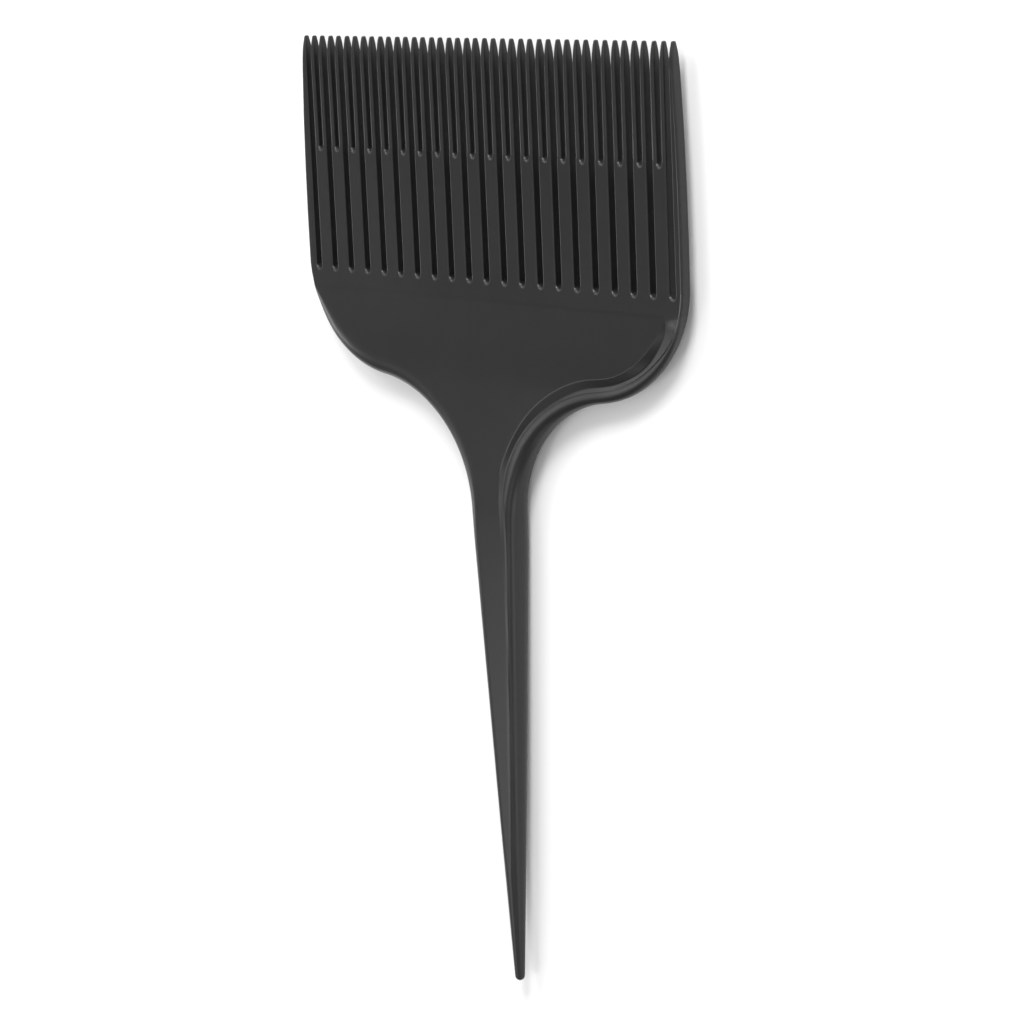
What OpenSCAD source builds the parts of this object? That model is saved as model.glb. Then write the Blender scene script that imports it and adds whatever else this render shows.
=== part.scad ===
// Weaving and tinting tail comb: one flat moulding in satin black plastic.
// A wide head carries twenty wide tines between two guard teeth. Each wide tine
// forks into two fine ones. Below the slots both faces swell into a raised pad
// that runs down through the neck into a tapering tail handle.
//
// The comb lies on its back: +Z is out of the front face and +Y runs from the
// tail to the tooth tips. The origin is at the middle of the underside.

/* [Comb] */
// Length from the tail's end to the tooth tips
comb_l = 225; // [215:1:240]
// Thickness of the neck, the thickest place
neck_t = 7.6; // [6.6:0.1:8.6]
// Thickness of the head at the roots of the teeth
plate_t = 2.7; // [2.2:0.1:3.2]

/* [Teeth] */
// Number of wide tines
wide_n = 20; // [16:2:24]
// Distance from one wide tine to the next
pitch = 5.4; // [5:0.1:5.8]
// Width of the long slots
slot_w = 1.66; // [1.4:0.02:1.9]
// Depth of the long slots below the tips
long_slot = 54.8; // [50:0.2:58]
// Width of the short slots
fork_w = 1.2; // [1:0.05:1.4]
// Depth of the short slots below the tips
short_slot = 26.2; // [22:0.2:30]
// Width of a guard tooth at its root
guard_w = 2.3; // [1.8:0.1:2.6]
// Thickness of the teeth at their blunt ends
tip_t = 1.1; // [0.9:0.05:1.4]
// Length over which the teeth get thinner towards their ends
thin_l = 7.7; // [6:0.1:10]
// Length of the points
point_l = 4.6; // [3.5:0.1:6]

/* [Head] */
// Radius of the head's two lower corners
corner_r = 27.5; // [24:0.5:29]
// Radius of the hollow curves between the head and the handle
neck_r = 30.6; // [28:0.2:34]
// Distance from the slots' ends down to the edge where the pads begin
crease_drop = 4.5; // [3:0.5:6]
// Width of the ledge beside each pad
ledge_w = 5; // [4:0.25:6]

/* [Handle] */
// Diameter of the handle where it meets the neck
handle_d = 13.8; // [12.5:0.1:14.5]
// Diameter of the tail's round end
tail_d = 2.4; // [2:0.1:3]
// Distance between the handle's two flats, carried on to the tail's end
flat_end_t = 4.2; // [3.8:0.1:4.6]

/* [Hidden] */
$fn = 48;

charcoal = "#2d2d2f";
charcoal_light = "#38383a";
charcoal_dark = "#242426";

plate_z = plate_t / 2;
neck_z = neck_t / 2;
slot_r = slot_w / 2;
fork_r = fork_w / 2;
root_y = comb_l - long_slot + slot_r;      // where the wide tines start
fork_y = comb_l - short_slot + fork_r;     // where they fork
thin_y = comb_l - thin_l;                  // where they start to get thinner
point_y = comb_l - point_l;                // where the points start
tine_w = pitch - slot_w;                   // width of a wide tine
prong_w = (tine_w - fork_w) / 2;           // width of a fine tine at its root
head_hw = wide_n * pitch / 2 + slot_r + guard_w;

// Each side of the outline is two arcs that touch: the corner's is centred in the
// head and the neck's beside the handle. The corner with the ledge is a little fuller.
ledge_corner_r = corner_r + 1;
corner_rise = 1.9;
handle_r = handle_d / 2;
neck_cx = handle_r + neck_r;
function corner_centre(r) = [head_hw - r, root_y + corner_rise];
function neck_centre(r) = let (c = corner_centre(r))
    [neck_cx, c.y - sqrt((r + neck_r) ^ 2 - (neck_cx - c.x) ^ 2)];
function touch_angle(r) = let (d = corner_centre(r) - neck_centre(r)) atan2(d.y, d.x);

// Heights along the comb where one zone hands over to the next
crease_y = comb_l - long_slot - crease_drop;
ledge_y = crease_y - 8;                    // the ledge starts to thicken here
handle_y = neck_centre(corner_r).y;        // top of the handle
shoulder_y = handle_y + 16;                // the shoulder reaches full thickness
pad_full_y = shoulder_y + 20;              // and the pad does here
tail_r = tail_d / 2;
cone_rise = (handle_r - tail_r) / (handle_y - tail_r);
flat_rise = (neck_z - flat_end_t / 2) / handle_y;
// The tail is fully round up to the place where the flats meet the cone.
flat_y = (flat_end_t / 2 - tail_r + tail_r * cone_rise) / (cone_rise - flat_rise);

arc_steps = 20;

// A guard tooth leans in by this much between its root and its point
guard_lean = 0.55;
// Half the width of a guard tooth where its point begins
guard_hw = 0.65;
// Half the width of the blunt end of every point
blunt_hw = 0.25;

// Two digits for a node's number, such as 07
function two_digits(i) = str(i < 10 ? "0" : "", i);

// Points on an arc from angle a0 to angle a1
function arc(c, r, a0, a1) =
    [for (k = [0:arc_steps]) let (a = a0 + (a1 - a0) * k / arc_steps) c + r * [cos(a), sin(a)]];

// Right-hand side of the head's outline from the neck up, with corner radius r,
// drawn in by inset
function side_curve(r, inset) = concat(
    arc(neck_centre(r), neck_r + inset, 180, touch_angle(r)),
    arc(corner_centre(r), r - inset, touch_angle(r) - 180, 0),
    [[head_hw - inset, comb_l]]);

function mirrored(points) = [for (k = [len(points) - 1:-1:0]) [-points[k].x, points[k].y]];

// Moves the comb from its working frame, with the tail's end at y = 0 and the
// middle of its thickness at z = 0, to the part's own frame
module in_frame() {
    translate([0, -comb_l / 2, neck_z]) children();
}

// A bar right across the comb with the side view given by [y, z] points
module across(profile) {
    translate([-head_hw - 1, 0, 0])
        rotate([90, 0, 90])
            linear_extrude(2 * head_hw + 2) polygon(profile);
}

// A bar as thick as the neck with the plan given by [x, y] points
module plan_bar(outline) {
    translate([0, 0, -neck_z - 1]) linear_extrude(neck_t + 2) polygon(outline);
}

// The head's plan, drawn in by a different amount on the left and the right
module head_plan(left_inset, right_inset) {
    plan_bar(concat(side_curve(ledge_corner_r, right_inset),
                    mirrored(side_curve(corner_r, left_inset))));
}

// Side view that is the same above and below the mid-plane; steps are [y, half height]
function both_faces(steps) = concat(steps,
    [for (k = [len(steps) - 1:-1:0]) [steps[k].x, -steps[k].y]]);

// Round end of the tail
module tail_point() {
    color(charcoal_light) in_frame() {
        translate([0, tail_r, 0]) rotate([-90, 0, 0])
            rotate_extrude() polygon(concat(
                [for (k = [0:8]) tail_r * [sin(90 * k / 8), -cos(90 * k / 8)]],
                [[tail_r + cone_rise * (flat_y - tail_r), flat_y - tail_r],
                 [0, flat_y - tail_r]]));
    }
}

// Tapering handle: a cone with a flat on the front and on the back
module handle() {
    color(charcoal) in_frame() intersection() {
        translate([0, flat_y, 0]) rotate([-90, 0, 0])
            cylinder(h = handle_y - flat_y, r1 = tail_r + cone_rise * (flat_y - tail_r), r2 = handle_r);
        across(both_faces([
            [flat_y - 1, flat_end_t / 2 + flat_rise * (flat_y - 1)],
            [handle_y + 1, neck_z + flat_rise]]));
    }
}

// Neck of full thickness between the two hollow curves
module neck() {
    color(charcoal_light) in_frame() intersection() {
        head_plan(0, 0);
        across(both_faces([[handle_y, neck_z], [shoulder_y, neck_z]]));
    }
}

// Shoulder that thins out from the neck to the head's plate
module shoulder() {
    color(charcoal) in_frame() intersection() {
        head_plan(0, 0);
        across(both_faces([[shoulder_y, neck_z], [ledge_y, plate_z]]));
    }
}

// Plate at the roots of the teeth, with the round ends of the long slots in its edge
module root_plate() {
    color(charcoal_light) in_frame() difference() {
        intersection() {
            head_plan(0, 0);
            across(both_faces([[ledge_y, plate_z], [root_y, plate_z]]));
        }
        for (i = [0:wide_n])
            translate([(i - wide_n / 2) * pitch, root_y, -plate_t])
                cylinder(h = 2 * plate_t, r = slot_r);
    }
}

// Raised pad: flush with the edge on its left, a ledge's width short of it on its right
module pad() {
    intersection() {
        head_plan(0, ledge_w);
        across([[crease_y, plate_z], [pad_full_y, neck_z], [shoulder_y, neck_z], [ledge_y, plate_z]]);
    }
}

module front_pad() {
    color(charcoal_dark) in_frame() pad();
}

// The rear pad mirrors the front one, so that both ledges are along the same edge
module rear_pad() {
    color(charcoal_dark) in_frame() mirror([0, 0, 1]) pad();
}

// Anything in the tooth zone: a plan shape as thick as the plate and thinner at the ends
module tooth_shape(outline) {
    intersection() {
        plan_bar(outline);
        across(both_faces([
            [root_y, plate_z],
            [thin_y, plate_z],
            [comb_l, tip_t / 2]]));
    }
}

// Right-hand guard tooth: it leans in a little and ends in a point
module guard_tooth() {
    inner = head_hw - guard_w;
    tip_x = inner + guard_hw - guard_lean;
    waist_hw = guard_hw * 0.8;
    waist_y = comb_l - point_l / 3;
    tooth_shape([
        [inner, root_y], [head_hw, root_y], [head_hw - guard_lean / 2, fork_y],
        [tip_x + guard_hw, point_y], [tip_x + waist_hw, waist_y],
        [tip_x + blunt_hw, comb_l], [tip_x - blunt_hw, comb_l],
        [tip_x - waist_hw, waist_y], [tip_x - guard_hw, point_y]]);
}

module guard_tooth_right() {
    color(charcoal) in_frame() guard_tooth();
}

module guard_tooth_left() {
    color(charcoal) in_frame() mirror([1, 0, 0]) guard_tooth();
}

// Wide tine i, from the head's plate to its fork
module wide_tine(i) {
    x = (i - (wide_n + 1) / 2) * pitch;
    color(i % 2 == 0 ? charcoal : charcoal_light) in_frame() difference() {
        tooth_shape([
            [x - tine_w / 2, root_y], [x + tine_w / 2, root_y],
            [x + tine_w / 2, fork_y], [x - tine_w / 2, fork_y]]);
        translate([x, fork_y, -plate_t]) cylinder(h = 2 * plate_t, r = fork_r);
    }
}

// The two fine tines that stand on wide tine i: the tips are evenly spaced
module fork_pair(i) {
    x = (i - (wide_n + 1) / 2) * pitch;
    tip_x = tine_w / 2 - prong_w * 0.45;
    shank_hw = prong_w * 0.45;
    waist_hw = prong_w * 0.35;
    waist_y = comb_l - point_l / 2;
    color(charcoal_dark) in_frame() for (side = [-1, 1])
        tooth_shape([
            [x + side * fork_w / 2, fork_y], [x + side * tine_w / 2, fork_y],
            [x + side * (tip_x + shank_hw), point_y], [x + side * (tip_x + waist_hw), waist_y],
            [x + side * (tip_x + blunt_hw), comb_l], [x + side * (tip_x - blunt_hw), comb_l],
            [x + side * (tip_x - waist_hw), waist_y], [x + side * (tip_x - shank_hw), point_y]]);
}

tail_point();
handle();
neck();
shoulder();
root_plate();
front_pad();
rear_pad();
guard_tooth_left();
guard_tooth_right();
for (i = [1:wide_n]) {
    wide_tine(i);
    fork_pair(i);
}
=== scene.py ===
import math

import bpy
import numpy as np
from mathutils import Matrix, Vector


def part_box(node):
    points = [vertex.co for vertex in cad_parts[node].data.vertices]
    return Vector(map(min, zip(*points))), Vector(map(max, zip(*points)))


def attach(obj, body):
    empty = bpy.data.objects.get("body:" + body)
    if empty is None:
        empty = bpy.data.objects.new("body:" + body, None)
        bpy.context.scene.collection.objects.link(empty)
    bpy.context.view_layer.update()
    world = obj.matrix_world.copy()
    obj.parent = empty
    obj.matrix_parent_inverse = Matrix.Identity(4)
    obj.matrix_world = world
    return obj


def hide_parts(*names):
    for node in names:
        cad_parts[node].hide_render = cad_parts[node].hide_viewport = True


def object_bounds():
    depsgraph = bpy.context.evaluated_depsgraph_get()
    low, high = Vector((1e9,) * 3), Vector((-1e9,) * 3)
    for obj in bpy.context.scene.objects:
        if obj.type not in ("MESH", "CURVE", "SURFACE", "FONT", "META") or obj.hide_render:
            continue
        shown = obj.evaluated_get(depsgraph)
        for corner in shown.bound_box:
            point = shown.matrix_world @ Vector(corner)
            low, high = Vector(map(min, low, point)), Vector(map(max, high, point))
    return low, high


# Looks of a weaving and tinting tail comb: one flat moulding in satin black plastic.
#
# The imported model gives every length. Shapes are worked out in millimetres in the
# comb's own axes: y runs from the tail's end to the tooth tips, z is out of the front
# face, and z = 0 is the middle of the thickness. to_row() turns them into metres in
# the frame. The back mirrors the front.
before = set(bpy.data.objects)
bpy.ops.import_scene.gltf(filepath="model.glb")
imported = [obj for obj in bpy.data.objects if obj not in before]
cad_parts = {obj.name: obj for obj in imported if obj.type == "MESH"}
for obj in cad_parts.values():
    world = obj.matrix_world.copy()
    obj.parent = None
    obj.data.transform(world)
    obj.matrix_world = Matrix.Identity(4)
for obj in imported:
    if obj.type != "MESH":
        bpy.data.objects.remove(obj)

MM = 0.001
cad_low, cad_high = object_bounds()
TAIL_END = cad_low.y
MID_PLANE = (cad_low.z + cad_high.z) / 2


# ---------------------------------------------------------------- sizes from the frame

def low_mm(node):
    """Lowest corner of a CAD node in the comb's own axes, in millimetres."""
    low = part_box(node)[0]
    return low.x / MM, (low.y - TAIL_END) / MM, (low.z - MID_PLANE) / MM


def high_mm(node):
    """Highest corner of a CAD node in the comb's own axes, in millimetres."""
    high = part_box(node)[1]
    return high.x / MM, (high.y - TAIL_END) / MM, (high.z - MID_PLANE) / MM


WIDE_TINES = sorted(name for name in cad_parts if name.startswith("wide_tine_"))
FORK_PAIRS = sorted(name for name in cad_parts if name.startswith("fork_pair_"))

COMB_L = (cad_high.y - cad_low.y) / MM
HEAD_HW = cad_high.x / MM
NECK_Z = (cad_high.z - cad_low.z) / 2 / MM
PLATE_Z = high_mm("root_plate")[2]
ROOT_Y = low_mm(WIDE_TINES[0])[1]
FORK_Y = low_mm(FORK_PAIRS[0])[1]
CREASE_Y = high_mm("front_pad")[1]
HANDLE_Y = high_mm("handle")[1]
HANDLE_R = high_mm("handle")[0]
FLAT_Y = low_mm("handle")[1]
TINE_W = high_mm(WIDE_TINES[0])[0] - low_mm(WIDE_TINES[0])[0]
PITCH = (low_mm(WIDE_TINES[-1])[0] - low_mm(WIDE_TINES[0])[0]) / (len(WIDE_TINES) - 1)
SLOT_R = (PITCH - TINE_W) / 2
GUARD_W = HEAD_HW - len(WIDE_TINES) * PITCH / 2 - SLOT_R

# ---------------------------------------------------------------- sizes of the looks

TAIL_R = 1.2              # round end of the tail
CORNER_R = 27.5           # the head's lower corner on the plain side, the left
LEDGE_CORNER_R = 28.5     # and on the side with the ledge, the right
CORNER_RISE = 1.9         # the corners' centres above the roots of the teeth
NECK_R = 30.6             # hollow curves beside the neck
JOIN_Y = CREASE_Y + 0.5   # where the body hands over to the root plate
FLAT_RISE = 0.01465       # how fast the handle's flats open towards the neck
PAD_RISE = 0.171          # how fast the pads rise from the crease
PAD_BLEND = 0.9           # rounding where the pads run out into the handle's flats
RIDGE_R = 2.2             # rounding between the handle's flats and its sides
RIDGE_SHARE = 0.75        # and the largest share of the half thickness that it takes
EDGE_R = 0.4              # rounding along the teeth
PRONG_R = 0.56            # rounding along the fine tines
SLOT_END_R = 1.2          # rounding at the bottom of a slot
RIM_R = 0.42              # rounding along the head's outer edge
FORK_R = 0.6              # round end of a short slot
POINT_L = 4.6             # length of the pointed ends
POINT_CURVE = 2.1         # how late a point narrows: 1 is evenly
THIN_L = 7.7              # length over which the teeth get thinner towards their ends
THIN_CURVE = 2.6          # how late they do: 1 is evenly
TIP_Z = 0.5               # half the thickness at the ends
BLUNT_R = 0.27            # round end of a point
BLUNT_HW = 0.32           # half its width there
PRONG_TIP_X = 1.30        # a fine tine's tip, out from its pair's middle
PRONG_TIP_HW = 0.57       # half its width where the point begins
GUARD_TIP_HW = 0.65       # half the guard tooth's width where its point begins
GUARD_LEAN = 1.25         # how far the guard tooth's outer side leans in
GUARD_OUTER_CURVE = 2.6   # how late its outer side leans in: 1 is evenly
GUARD_INNER_CURVE = 1.5   # and how late its inner side follows
ROUND_SHARE = 0.85        # largest share of a tooth's half width or thickness in a rounding
EDGE_STEPS = 4            # facets across a rounded edge
SLOT_STEPS = 12           # facets round the end of a slot
LIP_STEPS = 8             # facets across the lip on the right
SOFT_STEPS = 16           # facets across the soft edge on the left
EDGE_WEAR = 0.8           # wear of the edges, of the tips and of the tail's end
TIP_WEAR = 0.7
TAIL_WEAR = 0.3

POINT_Y = COMB_L - POINT_L
THIN_Y = COMB_L - THIN_L
# Fine groove along the rim on the right: distance from its start, and depth. It starts at
# GROOVE_START from the edge of the plate and the guard tooth, and at the lip on the body
GROOVE = [(0.04, 0.0), (0.12, 0.02), (0.24, 0.07), (0.40, 0.07), (0.56, 0.03), (0.68, 0.0)]
GROOVE_START = 0.62
GROOVE_FADE = (2.0, 8.0)  # it fades out between these distances from the tooth's end
LEAST_GROOVE = 0.001      # share of its depth that is left beyond them
LEAST_SPREAD = 0.2        # share of its width that is left where it has no depth


# ---------------------------------------------------------------- meshes

def to_row(points):
    """Points in millimetres in the comb's axes, as metres in the frame."""
    moved = np.asarray(points, float) * MM
    return moved + np.array([0.0, TAIL_END, MID_PLANE])


def unit(vectors):
    """The same vectors with length 1."""
    lengths = np.linalg.norm(vectors, axis=-1, keepdims=True)
    return vectors / np.maximum(lengths, 1e-12)


def mirrored(points, axis):
    """Points mirrored across the middle plane of axis 0, side to side, or 2, front to back."""
    flipped = np.array(points, float)
    flipped[..., axis] *= -1
    return flipped


class Piece:
    """Points, normals, wear and faces of one closed solid, gathered before it becomes an object."""

    def __init__(self):
        self.points = []
        self.normals = []
        self.wear = []
        self.faces = []
        self.flat = []

    def add(self, points, normals, wear):
        """Adds points and gives back their numbers."""
        first = len(self.points)
        self.points.extend(tuple(p) for p in points)
        self.normals.extend(tuple(n) for n in normals)
        self.wear.extend(float(w) for w in wear)
        return list(range(first, len(self.points)))

    def face(self, corners, flat=False):
        """Adds a face. A flat one is shaded by its own plane, the others by their points."""
        self.faces.append(list(corners))
        self.flat.append(flat)

    def strip(self, lower, upper, closed=False):
        """Joins two rows of points with four-sided faces."""
        count = len(lower)
        for k in range(count if closed else count - 1):
            after = (k + 1) % count
            self.face([lower[k], lower[after], upper[after], upper[k]])

    def build(self, name, material, nodes):
        """Makes the object, which rides on the comb's one body and stands for its CAD nodes."""
        mesh = bpy.data.meshes.new(name)
        mesh.from_pydata([tuple(p) for p in to_row(self.points)], [], self.faces)
        mesh.polygons.foreach_set("use_smooth", [True] * len(mesh.polygons))
        corner_normals = []
        for polygon, flat in zip(mesh.polygons, self.flat):
            for corner in polygon.vertices:
                corner_normals.append(tuple(polygon.normal) if flat else self.normals[corner])
        wear = mesh.attributes.new("wear", "FLOAT", "POINT")
        wear.data.foreach_set("value", self.wear)
        mesh.normals_split_custom_set(corner_normals)
        mesh.materials.append(material)
        piece = bpy.data.objects.new(name, mesh)
        bpy.context.scene.collection.objects.link(piece)
        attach(piece, "root")
        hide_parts(*nodes)
        return piece


def smoothstep(value, start, end):
    """0 before start, 1 after end, and a smooth rise between."""
    t = min(max((value - start) / (end - start), 0.0), 1.0)
    return t * t * (3 - 2 * t)


def smooth_min(a, b, width):
    """The lower of two heights, with the corner between them rounded off."""
    near = max(width - abs(a - b), 0.0) / width
    return min(a, b) - near * near * width / 4


def curve_through(position, stations, values):
    """Smooth curve through values given at stations along the outline."""
    if position <= stations[0]:
        return values[0]
    if position >= stations[-1]:
        return values[-1]
    k = max(i for i in range(len(stations) - 1) if stations[i] <= position)
    gap = stations[k + 1] - stations[k]
    t = (position - stations[k]) / gap

    def slope(i):
        before = max(i - 1, 0)
        after = min(i + 1, len(stations) - 1)
        return (values[after] - values[before]) / (stations[after] - stations[before])

    rise = slope(k) * gap
    end_rise = slope(k + 1) * gap
    return ((2 * t ** 3 - 3 * t ** 2 + 1) * values[k] + (t ** 3 - 2 * t ** 2 + t) * rise
            + (3 * t ** 2 - 2 * t ** 3) * values[k + 1] + (t ** 3 - t ** 2) * end_rise)


# ---------------------------------------------------------------- outline of the body

HANDLE_ROWS = 44
NECK_ROWS = 46
CORNER_ROWS = 44
TAIL_ROWS = 7
LEVEL_A = -40.0           # from here up the corner's rows turn level with the crease
LEVEL_END = 0.3           # and they are level from this many degrees below it
LAST_ROWS = (1.6, 0.9, 0.2)   # extra rows, in degrees below the crease


class Side:
    """Outline of one side, as if on the right: the handle's straight side, a hollow curve that
    touches it, and the head's round corner. Distances along it are measured from the tail."""

    def __init__(self, corner_r):
        self.corner_r = corner_r
        self.corner = (HEAD_HW - corner_r, ROOT_Y + CORNER_RISE)
        neck_x = HANDLE_R + NECK_R
        across = neck_x - self.corner[0]
        self.neck = (neck_x, self.corner[1] - math.sqrt((corner_r + NECK_R) ** 2 - across ** 2))
        self.touch_a = math.atan2(self.corner[1] - self.neck[1], self.corner[0] - self.neck[0])
        dx = self.neck[0] - TAIL_R
        dy = self.neck[1] - TAIL_R
        self.start_a = math.atan2(dy, dx) + math.asin(NECK_R / math.hypot(dx, dy)) + math.pi / 2
        self.start = self.neck_point(self.start_a)
        self.touch_s = self.neck_s(math.degrees(self.touch_a))
        self.crease_a = math.degrees(-math.asin((self.corner[1] - CREASE_Y) / corner_r))
        self.join_a = math.degrees(-math.asin((self.corner[1] - JOIN_Y) / corner_r))
        self.rim_stations = [self.neck_s(145), self.neck_s(118), self.touch_s, self.corner_s(-65),
                             self.corner_s(-45), self.corner_s(-25), self.corner_s(self.crease_a)]

    def neck_point(self, a):
        """Place on the hollow curve at an angle in radians."""
        return self.neck[0] + NECK_R * math.cos(a), self.neck[1] + NECK_R * math.sin(a)

    def neck_s(self, angle_deg):
        """Distance along the outline of a place on the hollow curve."""
        return self.start[1] + NECK_R * (self.start_a - math.radians(angle_deg))

    def corner_s(self, angle_deg):
        """Distance along the outline of a place on the head's corner."""
        return self.touch_s + self.corner_r * (math.radians(angle_deg) - (self.touch_a - math.pi))

    def side_x(self, y):
        """Half the head's width on this side at height y, from the crease up."""
        return self.corner[0] + math.sqrt(self.corner_r ** 2 - max(self.corner[1] - y, 0.0) ** 2)

    def handle_stations(self):
        """Places along the tail and handle: x, y, inward direction, distance."""
        for k in range(1, TAIL_ROWS + 1):
            a = (math.pi / 2) * k / TAIL_ROWS
            y = TAIL_R * (1 - math.cos(a))
            yield TAIL_R * math.sin(a), y, (-1.0, 0.0), y
        for k in range(1, HANDLE_ROWS + 1):
            y = TAIL_R + (HANDLE_Y - TAIL_R) * k / HANDLE_ROWS
            x = TAIL_R + (self.start[0] - TAIL_R) * (y - TAIL_R) / (self.start[1] - TAIL_R)
            yield x, y, (-1.0, 0.0), y

    def neck_stations(self):
        """Places along the hollow curve beside the neck."""
        for k in range(NECK_ROWS + 1):
            a = self.start_a + (self.touch_a - self.start_a) * k / NECK_ROWS
            x, y = self.neck_point(a)
            yield x, y, (math.cos(a), math.sin(a)), self.neck_s(math.degrees(a))

    def corner_stations(self):
        """Places round the head's corner up to where the root plate takes over."""
        start = math.degrees(self.touch_a) - 180
        gap = (self.crease_a - start) / CORNER_ROWS
        angles = [start + gap * k for k in range(1, CORNER_ROWS)]
        angles += [self.crease_a - below for below in LAST_ROWS] + [self.join_a]
        for angle in sorted(angles):
            a = math.radians(angle)
            x = self.corner[0] + self.corner_r * math.cos(a)
            y = self.corner[1] + self.corner_r * math.sin(a)
            turned = smoothstep(angle, LEVEL_A, self.crease_a - LEVEL_END)
            level = math.radians(angle * (1 - turned))
            yield x, y, (-math.cos(level), -math.sin(level)), self.corner_s(angle)

    def stations(self):
        """All the places of this side, from the tail's end up."""
        body = list(self.handle_stations()) + list(self.neck_stations())
        return body + list(self.corner_stations())


LEDGE_SIDE = Side(LEDGE_CORNER_R)
PLAIN_SIDE = Side(CORNER_R)


# ---------------------------------------------------------------- heights of the body

def flat_z(y):
    """Half the distance between the handle's flats."""
    return NECK_Z - FLAT_RISE * max(HANDLE_Y - y, 0.0)


def pad_z(y):
    """Half the thickness between the two pads, and of the plate above their crease."""
    if y >= CREASE_Y:
        return PLATE_Z
    return smooth_min(PLATE_Z + PAD_RISE * (CREASE_Y - y), flat_z(y), PAD_BLEND)


def handle_height(x, radius, flat):
    """Half thickness of the handle's section at x: a circle cut by a flat, with a rounded ridge."""
    low = min(flat, radius)
    ridge = min(RIDGE_R, low * RIDGE_SHARE)
    flat_x = math.sqrt(max((radius - ridge) ** 2 - (low - ridge) ** 2, 0.0))
    circle = math.sqrt(max(radius ** 2 - x ** 2, 0.0))
    if x <= flat_x:
        return low
    if x >= flat_x * radius / (radius - ridge):
        return circle
    return low - ridge + math.sqrt(max(ridge ** 2 - (x - flat_x) ** 2, 0.0))


TRACE_POINTS = 241        # points that trace a section before it is divided


def handle_profile(radius, flat, inner_x, fractions):
    """Section of the handle from its side in to inner_x, at fractions of its length."""
    angles = np.linspace(0.0, math.pi / 2, TRACE_POINTS)
    xs = radius - (radius - inner_x) * (1 - np.cos(angles))
    zs = np.array([handle_height(x, radius, flat) for x in xs])
    steps = np.hypot(np.diff(xs), np.diff(zs))
    run = np.concatenate([[0.0], np.cumsum(steps)])
    run /= run[-1]
    return radius - np.interp(fractions, run, xs), np.interp(fractions, run, zs)


def cut_back(corner, towards):
    """Where the rounding of a corner starts, on the line from it towards another point."""
    length = np.linalg.norm(towards - corner)
    return corner + (towards - corner) / length * min(STEP_ROUND, STEP_SHARE * length)


def rounded_corner(before, corner, after):
    """Points round a corner of the stepped rim."""
    start = cut_back(corner, before)
    end = cut_back(corner, after)
    return [(1 - t) ** 2 * start + 2 * t * (1 - t) * corner + t ** 2 * end
            for t in np.linspace(0.0, 1.0, STEP_FACETS + 1)]


# The stepped rim at places along the outline: the neck at 145 and 118 degrees round the hollow
# curve, where the two curves touch, then the corner at -65, -45 and -25 degrees, and the crease.
# From the side in it has a lip lip_d wide, rounded over lip_e of its height lip_z, then the
# groove, with this share of its depth and a fall of drop across it, then the ledge, up to foot_z
# at the foot of the wall. ledge and wall are widths
RIM = {
    "lip_d": [3.6, 3.1, 2.8, 2.5, 1.8, 0.65, GROOVE_START],
    "lip_e": [3.0, 2.5, 2.1, 1.6, 1.2, 0.8, RIM_R],
    "lip_z": [3.2, 2.8, 2.45, 1.95, 1.5, PLATE_Z, PLATE_Z],
    "groove": [0.0, 0.0, 0.0, 0.0, 0.3, 0.9, 1.0],
    "drop": [0.0, 0.0, 0.03, 0.06, 0.14, 0.28, 0.34],
    "ledge": [0.3, 0.5, 1.0, 0.9, 0.83, 1.9, 3.0],
    "foot_z": [3.25, 2.95, 2.6, 2.0, 1.55, 1.36, PLATE_Z],
    "wall": [1.2, 2.0, 2.0, 1.6, 1.6, 1.4, 0.3],
}
# The soft edge opposite the stepped rim: its width, and how much of the thickness it rounds
SOFT = {
    "width": [4.6, 4.9, 5.0, 4.9, 4.6, 3.0, RIM_R],
    "share": [1.0, 1.0, 1.0, 1.0, 1.0, 0.9, RIM_R / PLATE_Z],
}
BLEND_START = HANDLE_Y - 8    # between here and BLEND_END_A, in degrees round the hollow
BLEND_END_A = 142             # curve, the handle's section turns into the rims
INNER_D = 8.0             # the rims reach this far in from the side
MIDDLE_SHARE = 0.38       # but leave this share of a narrow section to the middle
MIDDLE_STEPS = (0.8, 0.6, 0.4, 0.2, 0.0)
STEP_ROUND = 0.22         # rounding of the pad's edge and of the wall's foot
STEP_SHARE = 0.45         # and the largest share of a step's length that it takes
STEP_FACETS = 4           # facets across it
DROP_LENGTH = 2.2         # how far below the crease the ledge reaches its full drop
PAD_START = 0.3           # the pad's first point, in from its edge
PAD_STEPS = (0.33, 0.66, 1.0)
SOFT_POWERS = (2.2, 2.6)  # squareness of the soft edge, across and out of the face
SOFT_SPACING = 1.25       # crowds its points towards the side


def rim_value(side, table, key, s):
    """One value of a rim's table at distance s along that side's outline."""
    return curve_through(s, side.rim_stations, table[key])


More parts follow.
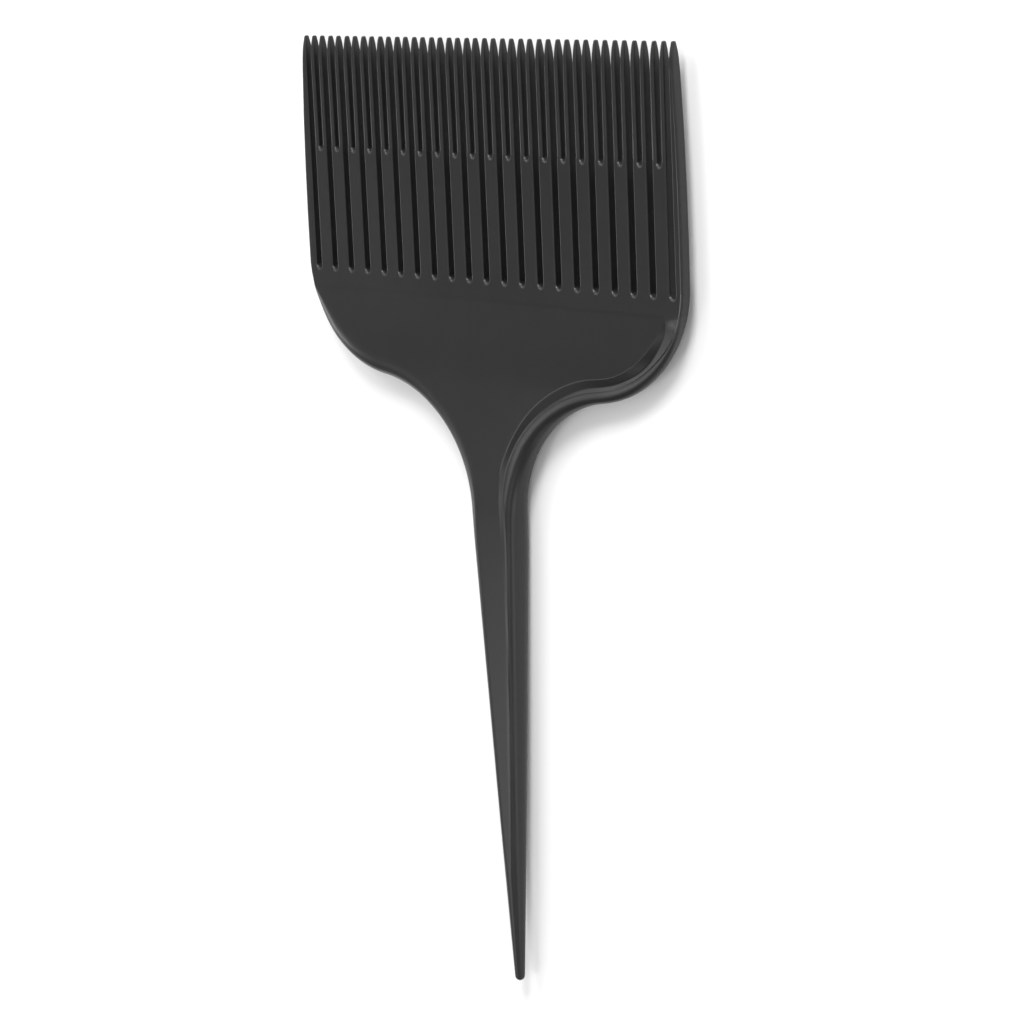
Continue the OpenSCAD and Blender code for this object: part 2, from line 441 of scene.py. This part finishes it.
def stepped_profile(s, pad_at, inner_d):
    """Right-hand rim: round lip, groove, ledge, steep wall and pad, from the side in."""
    r = {key: rim_value(LEDGE_SIDE, RIM, key, s) for key in RIM}
    to_crease = LEDGE_SIDE.rim_stations[-1] - s
    drop = r["drop"] * smoothstep(to_crease, 0.0, DROP_LENGTH)
    wall_top = r["lip_z"] - min(r["lip_e"], r["lip_z"])
    points = [np.array([0.0, 0.0])]
    for k in range(LIP_STEPS + 1):
        a = (math.pi / 2) * k / LIP_STEPS
        points.append(np.array([r["lip_d"] * (1 - math.cos(a)),
                                wall_top + (r["lip_z"] - wall_top) * math.sin(a)]))
    spread = LEAST_SPREAD + (1 - LEAST_SPREAD) * r["groove"]
    for along, depth in GROOVE:
        lowered = drop * along / GROOVE[-1][0] + depth * r["groove"]
        points.append(np.array([r["lip_d"] + along * spread, r["lip_z"] - lowered]))
    foot = np.array([points[-1][0] + r["ledge"], r["foot_z"]])
    top = np.array([foot[0] + r["wall"], pad_at(foot[0] + r["wall"])])
    beyond = np.array([inner_d, pad_at(inner_d)])
    points += rounded_corner(points[-1], foot, top)
    points += rounded_corner(foot, top, beyond)
    pad_start = top[0] + PAD_START
    for t in PAD_STEPS:
        d = pad_start + (inner_d - pad_start) * t
        points.append(np.array([d, pad_at(d)]))
    return np.array(points)


def soft_profile(s, pad_at, inner_d):
    """Left-hand rim, as if it were on the right: a soft rounding from the side in to the pad."""
    width = rim_value(PLAIN_SIDE, SOFT, "width", s)
    share = rim_value(PLAIN_SIDE, SOFT, "share", s)
    points = [np.array([0.0, 0.0])]
    for k in range(SOFT_STEPS + 1):
        a = (math.pi / 2) * (k / SOFT_STEPS) ** SOFT_SPACING
        d = width * (1 - math.cos(a) ** (2 / SOFT_POWERS[0]))
        rounded = 1 - share + share * math.sin(a) ** (2 / SOFT_POWERS[1])
        points.append(np.array([d, pad_at(d) * rounded]))
    for t in PAD_STEPS:
        d = width + (inner_d - width) * t
        points.append(np.array([d, pad_at(d)]))
    return np.array(points)


def half_section(side, station, profile):
    """Points of the front of one half, from the comb's side to its middle line."""
    x, y, inward, s = station
    inner_x = max(MIDDLE_SHARE * x, x - INNER_D)
    inner_d = x - inner_x
    shaped = profile(max(s, BLEND_START), lambda d: pad_z(y + inward[1] * d), inner_d)
    steps = np.hypot(*np.diff(shaped, axis=0).T)
    fractions = np.concatenate([[0.0], np.cumsum(steps)])
    fractions /= fractions[-1]
    handle_d, handle_z = handle_profile(x, flat_z(y), inner_x, fractions)
    mix = smoothstep(s, BLEND_START, side.neck_s(BLEND_END_A))
    d = handle_d + (shaped[:, 0] - handle_d) * mix
    z = handle_z + (shaped[:, 1] - handle_z) * mix
    rim = np.column_stack([x + inward[0] * d, y + inward[1] * d, z])
    last = rim[-1]
    inside = []
    for t in MIDDLE_STEPS:
        height = handle_height(last[0] * t, x, flat_z(y)) if mix == 0 else pad_z(last[1])
        inside.append([last[0] * t, last[1], height])
    return np.vstack([rim, inside])


def section_ring(right_station, left_station):
    """All the points round one cross-section, starting at the middle of the front."""
    right = half_section(LEDGE_SIDE, right_station, stepped_profile)
    left = mirrored(half_section(PLAIN_SIDE, left_station, soft_profile), 0)
    return np.vstack([right[::-1], mirrored(right, 2)[1:], mirrored(left, 2)[::-1][1:], left[1:-1]])


def ring_normals(rings):
    """Outward normals of a stack of rings, from the points next to each point."""
    around = np.roll(rings, -1, axis=1) - np.roll(rings, 1, axis=1)
    along = np.gradient(rings, axis=0)
    return unit(np.cross(around, along))


WEAR_RATE = 0.45          # wear for each radian that the surface turns in a millimetre
LEAST_STEP = 0.02         # shorter steps between points count as this long


def ring_wear(rings):
    """How sharply the surface turns at each point of each ring, from 0 to 1, on outward edges only."""
    before = rings - np.roll(rings, 1, axis=1)
    after = np.roll(rings, -1, axis=1) - rings
    turn = np.cross(unit(before), unit(after))[..., 1]
    length = (np.linalg.norm(before, axis=-1) + np.linalg.norm(after, axis=-1)) / 2
    return np.clip(turn / np.maximum(length, LEAST_STEP) * WEAR_RATE, 0.0, 1.0)


def ring_piece(rings, normals, wear, first, last):
    """Closed solid from a run of rings, with a flat end or a point at each end."""
    piece = Piece()
    rows = [piece.add(rings[i], normals[i], wear[i]) for i in range(first, last + 1)]
    for lower, upper in zip(rows, rows[1:]):
        piece.strip(lower, upper, closed=True)
    if first == 0:
        pole = piece.add([(0.0, 0.0, 0.0)], [(0.0, -1.0, 0.0)], [TAIL_WEAR])[0]
        for k, corner in enumerate(rows[0]):
            piece.face([pole, rows[0][(k + 1) % len(rows[0])], corner])
    else:
        piece.face(list(reversed(rows[0])), flat=True)
    piece.face(rows[-1], flat=True)
    return piece


def make_body(material):
    """Tail, handle, neck and the swollen lower part of the head."""
    handle = list(LEDGE_SIDE.handle_stations())
    pairs = zip(LEDGE_SIDE.stations(), PLAIN_SIDE.stations())
    rings = np.array([section_ring(right, left) for right, left in pairs])
    normals = ring_normals(rings)
    wear = ring_wear(rings)
    flat_row = min(range(len(handle)), key=lambda i: abs(handle[i][1] - FLAT_Y))
    neck_row = len(handle) - 1
    ring_piece(rings, normals, wear, 0, flat_row).build(
        "tail_point_looks", material, ["tail_point"])
    ring_piece(rings, normals, wear, flat_row, neck_row).build(
        "handle_looks", material, ["handle"])
    ring_piece(rings, normals, wear, neck_row, len(rings) - 1).build(
        "neck_and_pads_looks", material, ["neck", "shoulder", "front_pad", "rear_pad"])


# ---------------------------------------------------------------- plate and teeth

def tooth_z(y):
    """Half the thickness of the teeth at height y."""
    t = max(y - THIN_Y, 0.0) / THIN_L
    return PLATE_Z - (PLATE_Z - TIP_Z) * t ** THIN_CURVE


def groove_slope(along):
    """How steeply the groove falls, away from the edge, at a distance from its start."""
    ends = [GROOVE[0]] + GROOVE + [GROOVE[-1]]
    k = [place for place, depth in GROOVE].index(along) + 1
    return (ends[k + 1][1] - ends[k - 1][1]) / (ends[k + 1][0] - ends[k - 1][0])


def edge_column(x, y, inward, rounding, grooved=False):
    """Points across the edge of a flat piece, from its front face to its back face."""
    height = tooth_z(y)
    points = []
    normals = []
    wear = []
    for along, depth in reversed(GROOVE if grooved else []):
        d = GROOVE_START + along
        points.append((x + inward[0] * d, y + inward[1] * d, height - depth))
        slope = groove_slope(along)
        normals.append((inward[0] * slope, inward[1] * slope, 1.0))
        wear.append(0.0)
    for k in range(EDGE_STEPS + 1):
        a = (math.pi / 2) * k / EDGE_STEPS
        d = rounding * (1 - math.sin(a))
        z = height - rounding * (1 - math.cos(a))
        points.append((x + inward[0] * d, y + inward[1] * d, z))
        normals.append((-inward[0] * math.sin(a), -inward[1] * math.sin(a), math.cos(a)))
        wear.append(math.sin(2 * a) * EDGE_WEAR)
    points += [tuple(p) for p in mirrored(points[::-1], 2)]
    normals += [tuple(n) for n in mirrored(normals[::-1], 2)]
    return points, unit(np.array(normals)), wear + wear[::-1]


def plan_piece(columns, seams):
    """Flat piece bounded by columns of points. seams holds the numbers of the columns that a
    flat cut, not a rounded edge, joins to the next one."""
    piece = Piece()
    rows = [piece.add(*column) for column in columns]
    for k, row in enumerate(rows):
        after = rows[(k + 1) % len(rows)]
        if k in seams:
            piece.face(after + row[::-1], flat=True)
        else:
            piece.strip(after, row)
    piece.face([row[0] for row in rows][::-1], flat=True)
    piece.face([row[-1] for row in rows], flat=True)
    return piece


def slot_end(x, y, radius, start_deg, end_deg):
    """Columns round the end of a slot, whose material lies outside the circle."""
    columns = []
    for k in range(SLOT_STEPS + 1):
        a = math.radians(start_deg + (end_deg - start_deg) * k / SLOT_STEPS)
        outward = (math.cos(a), math.sin(a))
        rounding = EDGE_R + (SLOT_END_R - EDGE_R) * max(-outward[1], 0.0) ** 2
        edge_x = x + radius * outward[0]
        edge_y = y + radius * outward[1]
        columns.append(edge_column(edge_x, edge_y, outward, rounding))
    return columns


def make_root_plate(material):
    """Plate between the body and the teeth, with the round ends of the long slots in its edge.
    Its outline is followed clockwise, starting at the bottom of the left-hand side."""
    columns = []
    seams = []
    side_rows = [JOIN_Y, (JOIN_Y + ROOT_Y) / 2, ROOT_Y]
    for y in side_rows:
        columns.append(edge_column(-PLAIN_SIDE.side_x(y), y, (1.0, 0.0), RIM_R))
    for i in range(len(WIDE_TINES) + 1):
        seams.append(len(columns) - 1)
        x = (i - len(WIDE_TINES) / 2) * PITCH
        columns += slot_end(x, ROOT_Y, SLOT_R, 180, 360)
    seams.append(len(columns) - 1)
    for y in reversed(side_rows):
        columns.append(edge_column(LEDGE_SIDE.side_x(y), y, (-1.0, 0.0), RIM_R, grooved=True))
    seams.append(len(columns) - 1)
    plan_piece(columns, seams).build("root_plate_looks", material, ["root_plate"])


def make_wide_tine(number, material):
    """Wide tine from the root plate up to its fork, followed clockwise."""
    x = (number - (len(WIDE_TINES) + 1) / 2) * PITCH
    half = TINE_W / 2
    columns = [edge_column(x - half, y, (1.0, 0.0), EDGE_R) for y in (ROOT_Y, FORK_Y)]
    seams = [1]
    columns += slot_end(x, FORK_Y, FORK_R, 180, 360)
    seams.append(len(columns) - 1)
    columns += [edge_column(x + half, y, (-1.0, 0.0), EDGE_R) for y in (FORK_Y, ROOT_Y)]
    seams.append(len(columns) - 1)
    node = WIDE_TINES[number - 1]
    plan_piece(columns, seams).build(node + "_looks", material, [node])


def tooth_ring(centre, half, height, y, left_round, right_round, groove=0.0):
    """Rounded rectangle across a tooth, from its front face round by the right-hand edge. The
    groove is beside that edge, and groove says how much of its full depth it has."""
    points = []
    wear = []
    for side, rounding in ((1, right_round), (-1, left_round)):
        rounding = min(rounding, ROUND_SHARE * half, ROUND_SHARE * height)
        quarter = []
        for k in range(EDGE_STEPS + 1):
            a = (math.pi / 2) * k / EDGE_STEPS
            quarter.append((centre + side * (half - rounding * (1 - math.sin(a))), y,
                            height - rounding * (1 - math.cos(a)), math.sin(2 * a) * EDGE_WEAR))
        if side == 1 and groove > 0:
            narrowing = min(2 * half / GUARD_W, 1.0)
            rim = centre + half - rounding
            inside = [(rim - (GROOVE_START - RIM_R + along) * narrowing, y,
                       height - depth * groove, 0.0) for along, depth in reversed(GROOVE)]
            quarter = inside + quarter
        back = [(p[0], p[1], -p[2], p[3]) for p in reversed(quarter)]
        ring = quarter + back
        if side == -1:
            ring = ring[::-1]
        points += [p[:3] for p in ring]
        wear += [p[3] for p in ring]
    return points, wear


def point_width(y, shank):
    """Half the width of a tooth at height y: even up to its point, which narrows to a round end."""
    u = max(y - POINT_Y, 0.0) / POINT_L
    half = shank - (shank - BLUNT_HW) * u ** POINT_CURVE
    end = max(y - (COMB_L - BLUNT_R), 0.0) / BLUNT_R
    return half * math.sqrt(max(1 - end ** 2, 0.0))


SHANK_ROWS = 4            # rows of a tooth below its thin part
THIN_ROWS = 14            # rows of the thin part
END_ANGLES = (0, 20, 40, 58, 72, 82)   # rows of the round end, in degrees round it


def tooth_heights(start):
    """Rows from the foot of a tooth to its tip, closer together towards the round end."""
    shank = [start + (THIN_Y - start) * k / SHANK_ROWS for k in range(SHANK_ROWS)]
    thinning = [THIN_Y + (THIN_L - BLUNT_R) * k / THIN_ROWS for k in range(THIN_ROWS)]
    end = [COMB_L - BLUNT_R * (1 - math.sin(math.radians(a))) for a in END_ANGLES]
    return shank + thinning + end


def add_tooth(piece, start, sides, rounds, grooved=False):
    """Adds one tooth whose left and right sides at height y are given by sides(y)."""
    rings = []
    wears = []
    for y in tooth_heights(start):
        left, right = sides(y)
        centre = (left + right) / 2
        half = point_width(y, (right - left) / 2)
        end = max(y - (COMB_L - BLUNT_R), 0.0) / BLUNT_R
        height = tooth_z(y) - BLUNT_R * (1 - math.sqrt(1 - end ** 2))
        groove = max(smoothstep(COMB_L - y, *GROOVE_FADE), LEAST_GROOVE) if grooved else 0.0
        ring, wear = tooth_ring(centre, half, height, y, *rounds, groove)
        rings.append(ring)
        wears.append(np.maximum(wear, TIP_WEAR * max(y - POINT_Y, 0.0) / POINT_L))
    rings = np.array(rings)
    normals = ring_normals(rings)
    rows = [piece.add(ring, normal, wear) for ring, normal, wear in zip(rings, normals, wears)]
    for lower, upper in zip(rows, rows[1:]):
        piece.strip(lower, upper, closed=True)
    piece.face(rows[0][::-1], flat=True)
    piece.face(rows[-1])


def make_fork_pair(number, material):
    """The two fine tines that stand on one wide tine."""
    x = (number - (len(FORK_PAIRS) + 1) / 2) * PITCH
    piece = Piece()
    for side in (-1, 1):

        def sides(y, side=side):
            t = min((y - FORK_Y) / (POINT_Y - FORK_Y), 1.0)
            inner = FORK_R + (PRONG_TIP_X - PRONG_TIP_HW - FORK_R) * t
            outer = TINE_W / 2 + (PRONG_TIP_X + PRONG_TIP_HW - TINE_W / 2) * t
            pair = sorted((x + side * inner, x + side * outer))
            return pair[0], pair[1]

        add_tooth(piece, FORK_Y, sides, (PRONG_R, PRONG_R))
    node = FORK_PAIRS[number - 1]
    piece.build(node + "_looks", material, [node])


def make_guard_tooth(side, outline, node, material):
    """Outermost tooth, whose outer side leans in towards the tip. The right one has the groove."""

    def sides(y):
        u = min((y - ROOT_Y) / (POINT_Y - ROOT_Y), 1.0)
        outer = outline.side_x(y) - GUARD_LEAN * u ** GUARD_OUTER_CURVE
        inner = HEAD_HW - GUARD_W
        inner += (HEAD_HW - GUARD_LEAN - 2 * GUARD_TIP_HW - inner) * u ** GUARD_INNER_CURVE
        pair = sorted((side * inner, side * outer))
        return pair[0], pair[1]

    piece = Piece()
    rounds = (EDGE_R, RIM_R) if side > 0 else (RIM_R, EDGE_R)
    add_tooth(piece, ROOT_Y, sides, rounds, grooved=side > 0)
    piece.build(node + "_looks", material, [node])


# ---------------------------------------------------------------- materials

def node_maker(tree):
    """A short way to add a shader node with its settings and inputs."""

    def add(kind, inputs=None, **settings):
        node = tree.nodes.new(kind)
        for key, value in settings.items():
            setattr(node, key, value)
        for key, value in (inputs or {}).items():
            if isinstance(value, bpy.types.NodeSocket):
                tree.links.new(value, node.inputs[key])
            else:
                node.inputs[key].default_value = value
        return node

    return add


def new_material(name):
    """Empty node material, with the function that adds nodes and its shader."""
    material = bpy.data.materials.new(name)
    material.use_nodes = True
    add = node_maker(material.node_tree)
    shader = material.node_tree.nodes["Principled BSDF"]
    return material, add, shader


def ranged(add, value, low, high):
    """A 0-to-1 value spread from low to high."""
    spread = add("ShaderNodeMapRange", {"Value": value, "To Min": low, "To Max": high})
    return spread.outputs["Result"]


def noise(add, place, scale, detail):
    """Noise value from 0 to 1, whose scale is in features per metre."""
    return add("ShaderNodeTexNoise", {"Vector": place, "Scale": scale, "Detail": detail}).outputs["Fac"]


def mixed(add, factor, low, high):
    """Colour between two others."""
    return add("ShaderNodeMix", {"Factor": factor, 6: low, 7: high}, data_type="RGBA").outputs[2]


PLASTIC_DARK = (0.0105, 0.0105, 0.0107, 1.0)
PLASTIC_PALE = (0.0140, 0.0140, 0.0144, 1.0)
PLASTIC_WORN = (0.034, 0.034, 0.0346, 1.0)
BOARD_DARK = (0.90, 0.90, 0.90, 1.0)
BOARD_PALE = (0.92, 0.92, 0.92, 1.0)
FLOW_SCALE = 38.0         # streaks left by the flow of the plastic
PATCH_SCALE = 420.0       # patches of wear
GRAIN_SCALE = 5200.0      # grain of the mould
SMOOTHEST = 0.27          # roughness along the streaks
ROUGHEST = 0.33
PATCH_ROUGH = 0.03        # how far the patches change it
WORN_ROUGH = 0.05         # and how far wear does


def comb_plastic():
    """Satin black moulded plastic: faint flow shading, fine grain, edges rubbed a little paler."""
    material, add, shader = new_material("satin_black_plastic")
    links = material.node_tree.links
    place = add("ShaderNodeTexCoord").outputs["Object"]
    flow = noise(add, place, FLOW_SCALE, 3.0)
    patches = noise(add, place, PATCH_SCALE, 4.0)
    grain = noise(add, place, GRAIN_SCALE, 2.0)
    rubbed = add("ShaderNodeAttribute", attribute_name="wear").outputs["Fac"]
    patchy = ranged(add, patches, 0.1, 0.9)
    rubbing = add("ShaderNodeMath", {0: rubbed, 1: patchy}, operation="MULTIPLY").outputs[0]
    base = mixed(add, flow, PLASTIC_DARK, PLASTIC_PALE)
    links.new(mixed(add, rubbing, base, PLASTIC_WORN), shader.inputs["Base Color"])
    broad_rough = ranged(add, flow, SMOOTHEST, ROUGHEST)
    uneven = ranged(add, patches, -PATCH_ROUGH, PATCH_ROUGH)
    rough = add("ShaderNodeMath", {0: broad_rough, 1: uneven}, operation="ADD").outputs[0]
    dulled = add("ShaderNodeMath", {0: rubbed, 1: WORN_ROUGH, 2: rough}, operation="MULTIPLY_ADD")
    links.new(dulled.outputs[0], shader.inputs["Roughness"])
    shader.inputs["IOR"].default_value = 1.42
    fine = add("ShaderNodeBump", {"Strength": 0.10, "Distance": 0.00004, "Height": grain})
    broad = add("ShaderNodeBump", {"Strength": 0.10, "Distance": 0.0001, "Height": flow,
                                   "Normal": fine.outputs[0]})
    links.new(broad.outputs[0], shader.inputs["Normal"])
    return material


def floor_material():
    """Matt white board with a hardly visible mottle."""
    material, add, shader = new_material("white_board")
    links = material.node_tree.links
    place = add("ShaderNodeTexCoord").outputs["Object"]
    mottle = noise(add, place, 9.0, 4.0)
    grain = noise(add, place, 900.0, 2.0)
    links.new(mixed(add, mottle, BOARD_DARK, BOARD_PALE), shader.inputs["Base Color"])
    shader.inputs["Roughness"].default_value = 0.9
    shader.inputs["Specular IOR Level"].default_value = 0.1
    bump = add("ShaderNodeBump", {"Strength": 0.03, "Distance": 0.0001, "Height": grain})
    links.new(bump.outputs[0], shader.inputs["Normal"])
    return material


# ---------------------------------------------------------------- camera, floor and light

def make_camera():
    """Camera in front of the comb, to its right and a little towards its teeth, in metres."""
    right = (0.7488, -0.0410, -0.6615)
    up = (-0.1184, 0.9738, -0.1944)
    back = (0.6521, 0.2239, 0.7243)
    place = (0.44088, 0.15401, 0.48939)
    data = bpy.data.cameras.new("camera")
    data.lens = 101.8
    data.sensor_width = 36.0
    data.clip_start = 0.01
    camera = bpy.data.objects.new("camera", data)
    camera.matrix_world = Matrix([
        (right[0], up[0], back[0], place[0]),
        (right[1], up[1], back[1], place[1]),
        (right[2], up[2], back[2], place[2]),
        (0.0, 0.0, 0.0, 1.0)])
    bpy.context.scene.collection.objects.link(camera)
    bpy.context.scene.camera = camera


def make_floor():
    """Wide pale floor just under the comb."""
    reach = 3.0
    drop = 0.00005
    mesh = bpy.data.meshes.new("floor")
    level = cad_low.z - drop
    mesh.from_pydata([(-reach, -reach, level), (reach, -reach, level), (reach, reach, level),
                      (-reach, reach, level)], [], [(0, 1, 2, 3)])
    mesh.materials.append(floor_material())
    floor = bpy.data.objects.new("floor", mesh)
    bpy.context.scene.collection.objects.link(floor)


def axes_facing(towards):
    """Right, up and back axes of a light whose back points along towards."""
    side = unit(np.cross([0.0, 0.0, 1.0], towards))
    return side, np.cross(towards, side), towards


# Softboxes: name, direction from the comb, distance and size in metres, brightness of the face
SOFTBOXES = [
    ("left_softbox", (-0.52, -0.46, 0.72), 0.75, 0.32, 1.6),
    ("high_left_softbox", (-0.32, -0.31, 0.89), 0.75, 0.22, 4.0),
    ("overhead_softbox", (0.32, -0.34, 0.88), 0.80, 0.25, 1.6),
    ("near_end_softbox", (0.15, -0.95, 0.28), 0.80, 0.30, 0.9),
    ("right_softbox", (0.88, -0.38, 0.33), 0.80, 0.40, 1.4),
    ("upper_left_softbox", (-0.64, 0.44, 0.63), 0.80, 0.20, 3.6),
    ("top_left_softbox", (-0.38, 0.72, 0.58), 0.80, 0.20, 9.0),
    ("top_right_softbox", (0.23, 0.80, 0.55), 0.80, 0.27, 18.0),
    ("low_left_softbox", (-0.93, -0.10, 0.33), 0.80, 0.24, 5.0),
]
# The surround gets brighter along this direction, between these two strengths
SURROUND_AXIS = (0.4, 0.9, -0.5)
SURROUND_DARK = 0.27
SURROUND_PALE = 0.98


def softbox(name, direction, distance, size, radiance):
    """Square area light that faces the comb from a direction, with a given brightness of its face."""
    towards = unit(np.array(direction, float))
    data = bpy.data.lights.new(name, "AREA")
    data.shape = "SQUARE"
    data.size = size
    data.energy = radiance * math.pi * size ** 2
    light = bpy.data.objects.new(name, data)
    back = Matrix(np.column_stack(axes_facing(towards)))
    light.matrix_world = back.to_4x4()
    light.location = [float(v) for v in towards * distance]
    bpy.context.scene.collection.objects.link(light)


def make_lights():
    """The softboxes, and a grey surround that is palest low down beyond the teeth."""
    for settings in SOFTBOXES:
        softbox(*settings)
    world = bpy.data.worlds.new("surround")
    world.use_nodes = True
    sky = world.node_tree.nodes["Background"]
    sky.inputs["Color"].default_value = (1.0, 1.0, 1.0, 1.0)
    add = node_maker(world.node_tree)
    direction = add("ShaderNodeTexCoord").outputs["Generated"]
    along = add("ShaderNodeVectorMath", {0: direction, 1: SURROUND_AXIS},
                operation="DOT_PRODUCT").outputs["Value"]
    strength = add("ShaderNodeMapRange", {"Value": along, "From Min": -1.0, "From Max": 1.0,
                                          "To Min": SURROUND_DARK, "To Max": SURROUND_PALE})
    world.node_tree.links.new(strength.outputs["Result"], sky.inputs["Strength"])
    bpy.context.scene.world = world
    bpy.context.scene.view_settings.view_transform = "Standard"


# ---------------------------------------------------------------- the scene

def make_comb():
    """All the comb's pieces, in one plastic."""
    plastic = comb_plastic()
    make_body(plastic)
    make_root_plate(plastic)
    for number in range(1, len(WIDE_TINES) + 1):
        make_wide_tine(number, plastic)
        make_fork_pair(number, plastic)
    make_guard_tooth(-1, PLAIN_SIDE, "guard_tooth_left", plastic)
    make_guard_tooth(1, LEDGE_SIDE, "guard_tooth_right", plastic)


make_camera()
make_comb()
make_floor()
make_lights()
